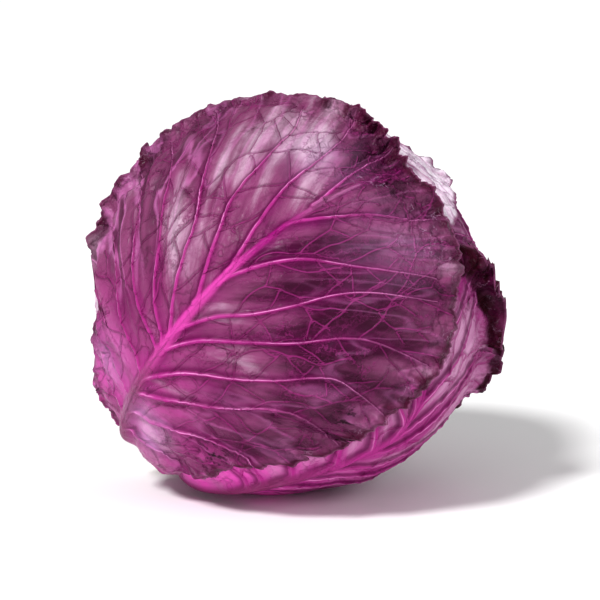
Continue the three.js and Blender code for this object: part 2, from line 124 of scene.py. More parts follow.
# The leaves from the innermost to the outermost. The shape values follow those of the solids. turn and
# centre place the middle of a leaf's map, in degrees round and from the stalk. tip_x is where its side
# ribs end, band how wide its free margin is, bow how far its midrib bends, columns and rows its mesh.
# These are tables of (direction in the map, value), eased round from the last entry to the first:
#   reach    the outline, in degrees of arc from the map's middle
#   curl     how far the margin bends out, in degrees
#   frill    how strongly the margin is waved
#   ragged   how strongly it is cut into scallops and teeth, and trim how many mm it is cut back
#   rim      width of the dark margin, and spotted how far it breaks up into separate curls; rim_fade is
#            how soft its inner edge is, and broken how uneven
#   crumple  wrinkles near the margin, and pleat folds along the side ribs
# These are soft spots of (along, aside, radius, amount): patches darken the blade, painted_light_flush_spots
# make it magenta, which brightens a part that lies in shade as painted light, blisters pucker it,
# wax_and_sheen makes it pale, a waxy bloom that is partly a painted sheen, and torn cracks it. tears are cuts
# in the margin of (direction, half width, depth). tone is how dark the blade is, flush how far magenta
# spreads from its base, and swell how much it rises between its ribs.
LEAVES = [
    dict(
        node="wrapper_leaf_back_high", slot="leaf_back", seed=11, turn=148, centre=108, tip_x=40, ribs=8,
        band=15, bow=0, columns=28, rows=(8, 46, 18),
        reach=[(0, 50), (45, 58), (90, 66), (135, 66), (180, 58), (225, 66), (270, 68), (315, 60)],
        curl=[(0, 40), (60, 25), (120, 20), (180, 10), (240, 20), (300, 30)],
        frill=[(0, 0.8)], rim=[(0, 12)], rim_fade=0.2, broken=0.1, tone=0.45, flush=0.75, patches=[],
    ),
    dict(
        node="wrapper_leaf_back_low", slot="leaf_back", seed=23, turn=-148, centre=110, tip_x=40, ribs=8,
        band=15, bow=0, columns=28, rows=(8, 46, 18),
        reach=[(0, 54), (45, 64), (90, 66), (135, 64), (180, 58), (225, 64), (270, 68), (315, 60)],
        curl=[(0, 35), (60, 25), (120, 15), (180, 10), (240, 20), (300, 50)],
        frill=[(0, 0.9)], rim=[(0, 12)], rim_fade=0.2, broken=0.1, tone=0.42, flush=0.7, patches=[],
    ),
    dict(
        node="wrapper_leaf_under", slot="leaf_under", seed=31, turn=-75, centre=108, tip_x=40, ribs=8,
        band=21, bow=27, columns=34, rows=(10, 56, 24),
        reach=[
            (0, 62), (30, 60), (60, 58), (90, 56), (135, 60), (180, 66), (200, 95), (222, 94), (245, 76),
            (265, 60), (285, 48), (303, 47), (325, 51), (345, 59),
        ],
        curl=[
            (0, 80), (40, 20), (90, 10), (180, 10), (240, 20), (270, 35), (290, 55), (308, 100), (320, 110),
            (345, 110),
        ],
        frill=[(0, 0.9), (60, 0.2), (180, 0.2), (250, 0.5), (290, 1.1), (330, 1)],
        rim=[(0, 20), (60, 8), (180, 8), (250, 6), (298, 6), (312, 18), (330, 22)], rim_fade=0.75, broken=0,
        ragged=[(0, 2.4), (60, 1), (250, 1), (285, 2), (310, 3), (330, 3)], pleat=[(0, 0.08)], swell=0.6,
        trim=[(0, 0), (250, 0), (272, 9), (294, 9), (308, 0), (340, 0)],
        # Painted light: a magenta spot brightens the leaf's downward-facing foot, which lies in shade
        painted_light_flush_spots=[(-72, 36, 24, 0.4)], tone=0.28, flush=1,
        patches=[(31, -14, 13, -0.34), (44, 4, 12, -0.26), (55, -14, 8, 0.5)],
    ),
    dict(
        node="wrapper_leaf_top", slot="leaf_top", seed=47, turn=75, centre=112, tip_x=62, ribs=9,
        band=15, bow=0, columns=30, rows=(10, 56, 20),
        reach=[
            (0, 94), (30, 84), (60, 70), (90, 66), (135, 62), (180, 58), (225, 64), (270, 62), (310, 70),
            (335, 86),
        ],
        curl=[(0, 12), (60, 25), (120, 20), (180, 10), (205, 0), (250, 0), (300, 10)],
        frill=[(0, 0.1), (60, 0.8), (180, 0.8), (205, 0), (250, 0), (300, 0.2), (340, 0.1)],
        rim=[(0, 3), (60, 6), (180, 6), (212, 0), (245, 0), (270, 3)], rim_fade=0.2, broken=0.2,
        trim=[(0, 5), (20, 4), (50, 0), (330, 0), (345, 5)],
        ragged=[(0, 0.15), (40, 0.3), (70, 1), (200, 0.6), (215, 0.15), (245, 0.15), (270, 1), (330, 0.15)],
        crumple=[(0, 0.05), (60, 0.5), (200, 0.1), (300, 0.05)], swell=0.35,
        pleat=[(0, 0.35), (60, 0.4), (300, 0.3), (330, 0.35)], tone=0.04, flush=0.4, patches=[],
    ),
    dict(
        node="wrapper_leaf_front", slot="leaf_front", seed=59, turn=0, centre=112, tip_x=50, ribs=10,
        band=15, bow=0, columns=30, rows=(12, 78, 28),
        reach=[
            (0, 70), (24, 81), (58, 74), (95, 69), (125, 67), (138, 58), (146, 58), (154, 68), (180, 60),
            (207, 76), (240, 71), (268, 65), (300, 69), (330, 70),
        ],
        curl=[
            (0, 22), (18, 75), (40, 40), (95, 34), (108, 65), (125, 60), (135, 4), (152, 4), (163, 32),
            (175, 20), (190, 10), (240, 16), (300, 18), (335, 20),
        ],
        frill=[
            (0, 0.5), (18, 1.2), (36, 0.35), (60, 0.22), (90, 0.4), (115, 1.1), (132, 0.1), (152, 0.1),
            (165, 1.1), (185, 0.3), (240, 0.4), (300, 0.5),
        ],
        rim=[
            (0, 14), (18, 24), (40, 9), (60, 6), (100, 9), (130, 13), (165, 12), (185, 6), (240, 6),
            (270, 10), (310, 8), (340, 11),
        ],
        spotted=[(0, 0.2), (18, 0), (34, 1), (100, 1), (118, 0.3), (240, 0.3), (300, 0.2)],
        rim_fade=0.3, broken=0.22, torn=[(-12, -77, 5, 1), (-73, -48, 6, 1)],
        tone=0.5, flush=0.9, blisters=[(80, -8, 13, 0.8), (74, -34, 10, 0.6), (62, 34, 8, 0.3)],
        tears=[(262, 3, 9), (214, 4, 8)],
        trim=[(0, 0), (190, 0), (203, 9), (215, 18), (235, 20), (250, 12), (264, 2), (280, 0)],
        crumple=[
            (0, 0.7), (20, 1.2), (45, 0.3), (80, 0.7), (100, 1.2), (130, 1), (140, 0.5), (155, 0.5),
            (165, 1.2), (185, 0.4), (240, 0.4), (300, 0.6),
        ],
        pleat=[
            (0, 0.3), (60, 0.4), (90, 0.8), (120, 1), (175, 1), (195, 0.5), (240, 0.4), (300, 0.3),
        ],
        # Pale spots for the waxy bloom near the base and at the top, partly a painted sheen
        wax_and_sheen=[(-94, -16, 9, 0.7), (-86, 24, 12, 0.3), (57, -32, 15, 0.16), (62, 22, 13, 0.2)],
        # The pale patches at (-94, -18), (55, 44) and (62, 23) lighten the base and the top, partly for the
        # waxy bloom and partly as a painted sheen
        patches=[
            (33, -21, 16, 0.4), (27, -41, 18, 0.35), (11, -54, 20, 0.24), (-2, -38, 18, 0.25),
            (-62, -52, 18, 0.3), (-32, -63, 20, 0.1), (84, -24, 12, 0.3), (78, 10, 15, 0.8),
            (38, 49, 18, 0.04), (55, 44, 20, -0.3), (62, 23, 14, -0.55), (57, -30, 15, -0.12),
            (57, -64, 14, 0.3), (-94, -18, 12, -0.35), (-50, 34, 18, 0.15), (10, 20, 16, 0.15),
            (-10, 28, 9, -0.35), (-22, -25, 12, -0.15), (22, 37, 9, -0.25),
        ],
    ),
]


def smoothstep(start, end, x):
    t = np.clip((x - start) / (end - start), 0, 1)
    return t * t * (3 - 2 * t)


def smooth_min(a, b, width):
    near = np.maximum(width - np.abs(a - b), 0)
    return np.minimum(a, b) - near * near / (4 * width)


def read_table(table, place):
    at, value = np.array(table, float).T
    return np.interp(place, at, value)


def read_round(table, degrees):
    """Reads a table of (degrees, value) that closes on itself, eased between its entries."""
    at, value = np.array(table + [(360 + table[0][0], table[0][1])], float).T
    turned = np.mod(degrees, 360)
    i = np.clip(np.searchsorted(at, turned, side="right") - 1, 0, len(at) - 2)
    t = (turned - at[i]) / (at[i + 1] - at[i])
    return value[i] + (value[i + 1] - value[i]) * t * t * (3 - 2 * t)


def waves(points, wavelength, seed, count=14):
    """Smooth noise of about one wavelength, from -1 to 1, at points with any number of axes."""
    rng = np.random.default_rng(seed)
    total = np.zeros(points.shape[:-1])
    for _ in range(count):
        way = rng.normal(size=points.shape[-1])
        way *= 2 * math.pi / wavelength * rng.uniform(0.6, 1.5) / np.linalg.norm(way)
        total += np.sin(points @ way + rng.uniform(0, 2 * math.pi))
    return np.tanh(total / math.sqrt(count) * 1.2)


def spots(entries, x, y):
    """The sum of soft round spots of a leaf's map, each (along, aside, radius, amount)."""
    total = np.zeros(x.shape)
    for px, py, radius, amount in entries:
        total = total + amount * np.exp(-((x - px) ** 2 + (y - py) ** 2) / (2 * radius**2))
    return total


def leaf_frame(leaf):
    turn, centre = leaf["turn"] * DEG, leaf["centre"] * DEG
    meridian = FRONT * math.cos(turn) + RAISED * math.sin(turn)
    out = STALK_AXIS * math.cos(centre) + meridian * math.sin(centre)
    tip = meridian * math.cos(centre) - STALK_AXIS * math.sin(centre)
    return out, tip, np.cross(out, tip)


for leaf in LEAVES:
    leaf["frame"] = leaf_frame(leaf)
    leaf["base_x"] = (BASE_FROM_STALK - leaf["centre"]) * DEG * MAP_RADIUS


def bow(leaf, x):
    return leaf["bow"] * smoothstep(*BOW, x)


def map_to_direction(leaf, x, y):
    out, tip, side = leaf["frame"]
    y = y + bow(leaf, x)
    arc = np.maximum(np.hypot(x, y), 1e-9)
    share = np.sin(arc / MAP_RADIUS) / arc
    return (
        out * np.cos(arc / MAP_RADIUS)[..., None]
        + tip * (x * share)[..., None]
        + side * (y * share)[..., None]
    )


def direction_to_map(leaf, d):
    out, tip, side = leaf["frame"]
    angle = np.arccos(np.clip(d @ out, -1, 1))
    u, v = d @ tip, d @ side
    share = angle * MAP_RADIUS / np.maximum(np.hypot(u, v), 1e-9)
    return u * share, v * share - bow(leaf, u * share)


def outside(leaf, x, y):
    """How far a point of the map lies outside the leaf's outline; inside it is negative."""
    blade = np.hypot(x, y) - read_round(leaf["reach"], np.degrees(np.arctan2(y, x))) * DEG * MAP_RADIUS
    half = np.minimum(PETIOLE_HALF_WIDTH + PETIOLE_SPREAD * (x - leaf["base_x"]), PETIOLE_MOST)
    petiole = np.maximum(np.maximum(np.abs(y) - half, x), leaf["base_x"] - 1 - x)
    return smooth_min(blade, petiole, OUTLINE_BLEND)


def head_radius(d):
    c = np.clip(d @ STALK_AXIS, -1, 1)
    dimple = DIMPLE_DEPTH * np.exp(-((np.degrees(np.arccos(c)) / DIMPLE_WIDTH) ** 2))
    return HEART_RADIUS * (1 + np.where(c > 0, STALK_SWELL, CROWN_NARROWING) * c**3 - dimple)


def stack_radius(d, count):
    """Radius of what lies under leaf number count: the heart and the leaves laid before it."""
    radius = head_radius(d)
    for leaf in LEAVES[:count]:
        radius = radius + PITCH * (1 - smoothstep(*DRAPE, outside(leaf, *direction_to_map(leaf, d))))
    return radius


def freedom(d, number, clearance):
    """1 where a leaf is free to stand out, 0 where later leaves or the ground press on it."""
    free = smoothstep(*REST_CLEAR, np.degrees(np.arccos(np.clip(-d[..., 2], -1, 1))))
    for leaf in LEAVES[number + 1:]:
        free = free * smoothstep(*clearance, outside(leaf, *direction_to_map(leaf, d)))
    return free


DOWN = np.array((0.0, 0.0, -1.0))
HEAD_CENTRE = np.array((*MIDDLE, float(stack_radius(DOWN, len(LEAVES))) - FLAT_DEPTH))


def settle(points, d):
    """Places points round the head's middle, pressed up to their layer's height by the ground."""
    under = stack_radius(d, len(LEAVES)) - np.linalg.norm(points, axis=-1)
    placed = points + HEAD_CENTRE
    placed[..., 2] = np.maximum(placed[..., 2], np.maximum(under - SKIN_SNAP, 0))
    return placed


def rays(leaf, side, v):
    """The lines of the map that leave the midrib at rib numbers v: start, direction and length."""
    angle = read_table(RIB_ANGLES, v / leaf["ribs"]) * DEG
    start = between((leaf["base_x"], leaf["tip_x"]), read_table(RIB_STARTS, v / leaf["ribs"]))
    dx, dy = np.cos(angle), side * np.sin(angle)
    step = np.arange(1.0, 260.0)
    over = outside(leaf, start[:, None] + dx[:, None] * step, dy[:, None] * step)
    first = np.argmax(over >= 0, axis=1)
    row = np.arange(len(v))
    after, before = over[row, first], over[row, np.maximum(first - 1, 0)]
    length = step[first] - after / np.maximum(after - before, 1e-6)
    return start, dx, dy, length


def along_edge(start, dx, dy, length, side):
    """Distance along the outline from the tip, signed by side."""
    x, y = start + dx * length, dy * length
    steps = np.hypot(np.diff(x), np.diff(y))
    return side * np.append(np.cumsum(steps[::-1])[::-1], 0)


def column_places(leaf, side):
    """Rib numbers at which rays are drawn, spread so that they are about even along the margin."""
    v = np.linspace(0, leaf["ribs"], 1200)
    s = np.abs(along_edge(*rays(leaf, side, v), side))
    share = 0.8 * (1 - s / s[0]) + 0.2 * v / leaf["ribs"]
    return np.interp(np.linspace(0, 1, leaf["ribs"] * leaf["columns"] + 1), share, v)


def ragged_edge(leaf, s, x, way):
    """How much the margin is cut back, in scallops, teeth and nicks, away from the petiole."""
    at = s[:, None]
    seed = leaf["seed"]
    uneven = 0.5 + 0.5 * waves(at, 45, seed + 3)
    scallops = 1.9 * (1 + waves(at, 26, seed + 1)) * uneven
    teeth = 0.9 * (1 + waves(at, 8, seed + 2)) * (0.3 + 0.7 * waves(at, 30, seed + 14) ** 2)
    nicks = 0.5 * (1 + waves(at, 3, seed + 4))
    deep = 5 * smoothstep(0.8, 1, waves(at, 17, seed + 5))
    cut = (scallops + teeth + nicks + deep) * read_round(leaf.get("ragged", [(0, 1)]), way)
    cut = cut + read_round(leaf.get("trim", [(0, 0)]), way)
    for middle, width, depth in leaf.get("tears", []):
        jagged = 0.55 + 0.45 * waves(at, 3.2, seed + 15)
        near = np.abs(np.mod(way - middle + 180, 360) - 180)
        cut = cut + depth * jagged * smoothstep(width, 0.3 * width, near)
    return cut * smoothstep(*CUT_FROM, x)


def curve_through(points, step=2.0):
    """A smooth line through a few points, about one step between its own."""
    p = np.array(points, float)
    p = np.vstack([2 * p[0] - p[1], p, 2 * p[-1] - p[-2]])
    line = []
    for a, b, c, d in zip(p, p[1:], p[2:], p[3:]):
        for t in np.linspace(0, 1, max(2, int(np.linalg.norm(c - b) / step)), endpoint=False):
            square, cube = 2 * a - 5 * b + 4 * c - d, 3 * b - a - 3 * c + d
            line.append(0.5 * (2 * b + (c - a) * t + square * t**2 + cube * t**3))
    return np.array(line + [p[-2]])


def side_ribs(leaf, rng):
    """Each side rib as points of the map; the front leaf's are listed, the others' follow its rule."""
    if leaf["node"] == "wrapper_leaf_front":
        return [curve_through([(x - 10, 0.3 * y), (x - 4, 0.6 * y), *rest])
                for (x, y), *rest in FRONT_RIBS]
    lines = []
    for side in (1, -1):
        for v in np.arange(1.6, leaf["ribs"] - 0.4, 0.72):
            v = v + rng.uniform(-0.15, 0.15)
            x = between((leaf["base_x"], leaf["tip_x"]), read_table(RIB_STARTS, v / leaf["ribs"]))
            heading = read_table(RIB_ANGLES, v / leaf["ribs"]) * DEG * rng.uniform(0.88, 1.0)
            y, points = 2.0, []
            bend = rng.uniform(0.001, 0.004)
            while outside(leaf, np.array(x), np.array(side * y)) < 1 and len(points) < 90:
                points.append((x, side * y))
                heading += bend + rng.normal(0, 0.03)
                x, y = x + 2 * math.cos(heading), y + 2 * math.sin(heading)
            if len(points) > 8:
                x, y = points[0]
                lines.append(np.array([(x - 9, 0.2 * y), (x - 4, 0.6 * y), *points]))
    return lines


def cell(point):
    return (round(point[0] / 2.2), round(point[1] / 2.2))


def branch(leaf, rng, start, heading, width, length, lines, taken, depth):
    """Grows one fine vein, which forks until it is short, meets another or reaches the margin."""
    points = [np.array(start, float)]
    met = False
    for step in range(int(length / 2)):
        heading += rng.normal(0, 0.13)
        points.append(points[-1] + 2 * np.array((math.cos(heading), math.sin(heading))))
        met = step > 2 and cell(points[-1]) in taken
        if met or outside(leaf, points[-1][0], points[-1][1]) > -2:
            break
    if len(points) < 4:
        return
    lines.append((np.array(points), width, width * 0.8))
    if not met and depth and len(points) > 5:
        for turn in (-1, 1):
            away = heading + turn * rng.uniform(0.3, 0.75)
            reach = length * rng.uniform(0.6, 0.95)
            branch(leaf, rng, points[-1], away, max(width * 0.85, 1), reach, lines, taken, depth - 1)
    taken.update(cell(point) for point in points)


def veins(leaf):
    """All veins beyond the midrib as (points, width at start, width at end): side ribs, fine veins."""
    rng = np.random.default_rng(leaf["seed"])
    ribs = side_ribs(leaf, rng)
    taken = {cell(point) for line in ribs for point in line}
    fine = []
    for line in ribs:
        distance = rng.uniform(10, 16)
        turn = rng.choice((-1, 1))
        while distance < 2 * len(line) - 8:
            i = int(distance / 2)
            way = line[min(i + 2, len(line) - 1)] - line[i]
            heading = math.atan2(way[1], way[0]) + turn * rng.uniform(0.4, 0.85)
            width, length = 1.45 - 0.3 * i / len(line), rng.uniform(16, 34)
            branch(leaf, rng, line[i], heading, width, length, fine, taken, 3)
            distance += rng.uniform(6, 12)
            turn = -turn
    return [(line, *RIB_WIDTH) for line in ribs], fine


def distance_field(x, y, lines, reach):
    """For every point: signed distance to the nearest line, the line's width there and share run."""
    nearest = np.full(x.shape, 1e3)
    sign = np.ones(x.shape)
    width = np.ones(x.shape)
    share = np.zeros(x.shape)
    for points, start, end in lines:
        low, high = points.min(0) - reach, points.max(0) + reach
        inside = np.nonzero((x > low[0]) & (x < high[0]) & (y > low[1]) & (y < high[1]))[0]
        if not len(inside):
            continue
        px, py = x[inside], y[inside]
        best, run = np.full(len(inside), 1e3), np.zeros(len(inside))
        way = np.ones(len(inside))
        last = len(points) - 1
        for i in range(last):
            a, b = points[i], points[i + 1]
            ab = b - a
            t = np.clip(((px - a[0]) * ab[0] + (py - a[1]) * ab[1]) / max(ab @ ab, 1e-9), 0, 1)
            gap = np.hypot(px - a[0] - t * ab[0], py - a[1] - t * ab[1])
            closer = gap < best
            best[closer] = gap[closer]
            run[closer] = (i + t[closer]) / last
            turn = ab[0] * (py - a[1]) - ab[1] * (px - a[0])
            way[closer] = np.where(turn[closer] < 0, -1, 1)
        closer = best < nearest[inside]
        where = inside[closer]
        nearest[where] = best[closer]
        share[where] = run[closer]
        sign[where] = way[closer]
        width[where] = start + (end - start) * run[closer]
    return nearest, sign, width, share


def ridge(distance, width):
    q = np.clip(distance / width, 0, 1)
    return (1 - q * q) ** 2


def midrib(leaf, x, y):
    """Height of the midrib, its crest from 0 to 1, and how far along it is."""
    along = np.clip((x - leaf["base_x"]) / (MIDRIB_END - leaf["base_x"]), 0, 1)
    angle = np.maximum(np.hypot(x, y + bow(leaf, x)) / MAP_RADIUS, 1e-6)
    aside = np.abs(y) * np.sin(angle) / angle
    crest = ridge(aside, between(MIDRIB_HALF_WIDTH, along)) * smoothstep(1, 0.94, along)
    height = between(MIDRIB_HEIGHT, along) * (0.55 + 0.45 * smoothstep(0, 0.14, along))
    return height * crest, crest, along


def leaf_grid(leaf, number, side):
    """Both faces of one half of a leaf, and what its colours follow, as columns by rows."""
    v = column_places(leaf, side)
    start, dx, dy, length = rays(leaf, side, v)
    s = along_edge(start, dx, dy, length, side)
    edge_x, edge_y = start + dx * length, dy * length
    edge_way = np.degrees(np.arctan2(edge_y, edge_x))
    length = np.maximum(length - ragged_edge(leaf, s, edge_x, edge_way), 6)
    band = np.minimum(leaf["band"], 0.45 * length)
    bend_at = length - band
    foot_end = np.minimum(20 * (1 - 0.85 * v / leaf["ribs"]), 0.3 * length)
    foot, blade, margin = leaf["rows"]
    a = np.concatenate(
        [
            foot_end[:, None] * np.linspace(0, 1, foot, endpoint=False),
            foot_end[:, None] + (bend_at - foot_end)[:, None] * np.linspace(0, 1, blade, endpoint=False),
            bend_at[:, None] + band[:, None] * np.linspace(0, 1, margin),
        ],
        axis=1,
    )
    x, y = start[:, None] + dx[:, None] * a, dy[:, None] * a
    here = map_to_direction(leaf, x, y)
    on_head = here * MAP_RADIUS

    def sheet(at):
        d = map_to_direction(leaf, start[:, None] + dx[:, None] * at, dy[:, None] * at)
        return d * (stack_radius(d, number) + GAP)[..., None]

    held = bend_at[:, None]
    along = sheet(held + 0.5) - sheet(held - 0.5)
    stretch = np.linalg.norm(along, axis=-1, keepdims=True)
    along = along / stretch
    up = unit(sheet(held))
    up = unit(up - along * np.sum(up * along, axis=-1, keepdims=True))
    past = np.maximum(a - held, 0) * stretch[..., 0]
    free = freedom(here, number, CURL_CLEAR)
    way = np.degrees(np.arctan2(y, x))
    bend = read_round(leaf["curl"], way) * DEG * free / band[:, None] - 1 / HEART_RADIUS
    flat = -1 / HEART_RADIUS
    forward = np.sin(bend * past) / bend - np.sin(flat * past) / flat
    lift = (1 - np.cos(bend * past)) / bend - (1 - np.cos(flat * past)) / flat
    point = sheet(a) + along * forward[..., None] + up * lift[..., None]
    normal_at_bend = up * np.cos(bend * past)[..., None] - along * np.sin(bend * past)[..., None]
    blend = smoothstep(0, 3, past)[..., None]
    normal = unit(here * (1 - blend) + normal_at_bend * blend)

    # The margin's waves, from long ones to small crinkles, that grow towards the edge
    waved = free * smoothstep(*FRILL_FROM, x)
    frill = read_round(leaf["frill"], way) * waved
    left = length[:, None] - a
    at = np.stack([np.broadcast_to(s[:, None], a.shape), 0.35 * left], axis=-1)
    seed = leaf["seed"]
    ruffle = 4.2 * smoothstep(18, 0, left) ** 2 * (0.5 + 0.5 * waves(at, 24, seed + 6))
    crinkled = 2.2 * smoothstep(10, 0, left) * (0.5 + 0.5 * waves(at, 9, seed + 7))
    crinkled = crinkled + 0.8 * smoothstep(6, 0, left) * (0.5 + 0.5 * waves(at, 4.5, seed + 8))
    curl_here = smoothstep(0, 0.9, waves(at, 16, seed + 20))
    curls = 2.6 * smoothstep(9, 0, left) * curl_here
    small = np.minimum(frill + 0.15 * waved, 1)
    point = point + normal * (frill * ruffle + small * (crinkled + curls))[..., None]

    # Ribs, veins, and the blade that swells between them
    bare = freedom(here, number, RELIEF_CLEAR)
    strong, fine = leaf["veins"]
    fx, fy = x.ravel(), y.ravel()
    gap_strong, side_strong, width_strong, run = (
        field.reshape(x.shape) for field in distance_field(fx, fy, strong, 22)
    )
    gap_fine, side_fine, width_fine, _ = (field.reshape(x.shape) for field in distance_field(fx, fy, fine, 4))
    high, crest, share = midrib(leaf, x, y)
    rib = ridge(gap_strong, width_strong + 0.4)
    vein = ridge(gap_fine, width_fine)
    swell = 1.9 * leaf.get("swell", 1) * (1 - np.exp(-((gap_strong / 7) ** 2))) * smoothstep(0, 16, np.abs(y))
    swell = swell + 0.5 * (1 - np.exp(-((gap_fine / 3) ** 2)))
    across = np.broadcast_to(14 * (leaf["ribs"] - v[:, None]), a.shape)
    pleats = waves(np.stack([across, 0.12 * a], axis=-1), 8, seed + 17)
    pleat = read_round(leaf.get("pleat", [(0, 0.4)]), way) * smoothstep(0.15, 0.6, a / length[:, None])
    swell = swell + 1.0 * (1 + pleats) * pleat
    crinkle = 0.35 * waves(on_head, 9, seed + 9) + 0.18 * waves(on_head, 4, seed + 10)
    crinkle = crinkle * (0.5 + 0.9 * smoothstep(30, 4, left))
    blister = 0.3 * smoothstep(16, 4, left) + spots(leaf.get("blisters", []), x, y)
    crumple = read_round(leaf.get("crumple", [(0, 0.5)]), way) * smoothstep(34, 6, left)
    crinkle = crinkle + 2.0 * crumple * (0.6 - np.abs(waves(on_head, 13, seed + 21)))
    crinkle = crinkle + 0.9 * crumple * (0.6 - np.abs(waves(on_head, 6, seed + 22)))
    crinkle = crinkle + blister * (1 - 2 * np.abs(waves(on_head, 7.5, seed + 16)))
    shoulder = 0.5 * np.exp(-((gap_strong / 3) ** 2)) * width_strong
    relief = np.maximum(high, 0.7 * width_strong * rib + shoulder) + 0.5 * vein * (1 - crest)
    relief = relief + (swell + crinkle) * (1 - crest) * smoothstep(0, 6, left)
    thick = between((BLADE, BLADE_AT_MARGIN), smoothstep(0.6, 1, a / length[:, None]))
    inner = settle(point, here)
    outer = settle(point + normal * (thick + bare * relief)[..., None], here)

    # What the colours follow
    tone = leaf["tone"] + spots(leaf["patches"], x, y)
    tone = tone + 0.08 * waves(on_head, 26, seed + 12)
    tone = tone + 0.12 * waves(np.stack([side * across, 0.15 * a], axis=-1), 15, seed + 19)
    from_base = np.hypot(x - leaf["base_x"] - 22, y * 1.1)
    flush = leaf["flush"] * smoothstep(112, 24, from_base)
    flush = flush + spots(leaf.get("painted_light_flush_spots", []), x, y)
    past_midrib = np.maximum(np.abs(y) - 0.6 * between(MIDRIB_HALF_WIDTH, share), 0)
    beside = np.exp(-past_midrib / (7 - 5 * share)) * (1 - 0.5 * share)
    deep = (0.75 * np.exp(-gap_strong / 2.2) + 0.35 * np.exp(-gap_strong / 6)) * (1 - 0.75 * run)
    deep = np.clip(np.maximum(deep, beside), 0, 1)
    spotted = read_round(leaf.get("spotted", [(0, 0)]), way)
    wide = read_round(leaf["rim"], way) * (1 + spotted * (1.9 * curl_here - 0.8))
    uneven = 0.25 * waves(on_head, 10, seed + 13) + leaf["broken"] * (1 + waves(at, 16, seed + 18))
    rim = smoothstep(wide + 0.01, leaf["rim_fade"] * wide, left + wide * uneven)
    attributes = dict(
        tone=tone,
        flush=np.clip(flush, 0, 1),
        deep=deep,
        rim=rim * smoothstep(*RIM_FROM, x),
        torn=np.minimum(spots(leaf.get("torn", []), x, y), 1),
        wax_and_sheen=spots(leaf.get("wax_and_sheen", []), x, y),
        pleat=pleat,
        crumple=crumple,
        lip=smoothstep(1.6, 0.3, left),
        across=(side * across + 300 * number) * MM,
        along=a * MM,
        midrib=smoothstep(0.3, 0.9, crest),
        rib_gap=gap_strong / width_strong,
        rib_side=side_strong * gap_strong / width_strong,
        vein_gap=gap_fine,
        vein_side=side_fine * gap_fine,
        share=np.where((gap_strong < 4) & (crest < 0.3), 0.5 + 0.45 * run, share),
        blister=blister,
    )
    return outer, inner, attributes


def leaf_object(leaf, number):
    leaf["veins"] = veins(leaf)
    halves = [leaf_grid(leaf, number, side) for side in (1, -1)]
    columns, rows = halves[0][0].shape[:2]
    foot, blade, margin = leaf["rows"]
    kept = [0, foot // 2, *range(foot, foot + blade, 9), *range(foot + blade, rows, 2)]
    kept = sorted(set(kept) | {rows - 1})

    def numbered(count, offset):
        """Indices of both halves, which share the midrib's row and the tip's column."""
        right = offset + np.arange(columns * count).reshape(columns, count)
        left = np.zeros_like(right)
        left[:, 0] = right[:, 0]
        left[-1] = right[-1]
        own = np.arange((columns - 1) * (count - 1)).reshape(columns - 1, count - 1)
        left[:-1, 1:] = right.max() + 1 + own
        return right, left

    def gathered(grids, chosen):
        right, left = (g[:, chosen] for g in grids)
        width = right.shape[2:]
        return np.concatenate([right.reshape(-1, *width), left[:-1, 1:].reshape(-1, *width)])

    def quads(index, flip):
        a, b, c, d = index[:-1, :-1], index[1:, :-1], index[1:, 1:], index[:-1, 1:]
        order = (a, d, c, b) if flip else (a, b, c, d)
        return np.stack(order, axis=-1).reshape(-1, 4)

    every = list(range(rows))
    top = gathered([h[0] for h in halves], every)
    bottom = gathered([h[1] for h in halves], kept)
    top_right, top_left = numbered(rows, 0)
    low_right, low_left = numbered(len(kept), len(top))
    faces = [quads(top_right, False), quads(top_left, True), quads(low_right, True), quads(low_left, False)]
    for high, low, flip in ((top_right, low_right, False), (top_left, low_left, True)):
        edge = np.stack([high[:, -1], low[:, -1]], axis=1)
        faces.append(quads(edge, flip))
    base = [*top_left[0][::-1], *top_right[0][1:], *low_right[0][::-1], *low_left[0][1:]]
    attributes = {
        key: np.concatenate([gathered([h[2][key] for h in halves], rows_of) for rows_of in (every, kept)])
        for key in halves[0][2]
    }
    attributes["inside"] = np.concatenate([np.zeros(len(top)), np.ones(len(bottom))])
    faces = np.concatenate(faces).tolist() + [base[::-1]]
    return mesh_object(leaf["node"].replace("wrapper_", ""), np.concatenate([top, bottom]), faces, attributes)


def mesh_object(name, points, faces, attributes):
    mesh = bpy.data.meshes.new(name)
    mesh.from_pydata((points * MM).tolist(), [], [[int(i) for i in f] for f in faces])
    mesh.validate()
    mesh.shade_smooth()
    for key, values in attributes.items():
        mesh.attributes.new(key, "FLOAT", "POINT").data.foreach_set("value", values.astype(np.float32))
    obj = bpy.data.objects.new(name, mesh)
    bpy.context.scene.collection.objects.link(obj)
    return obj


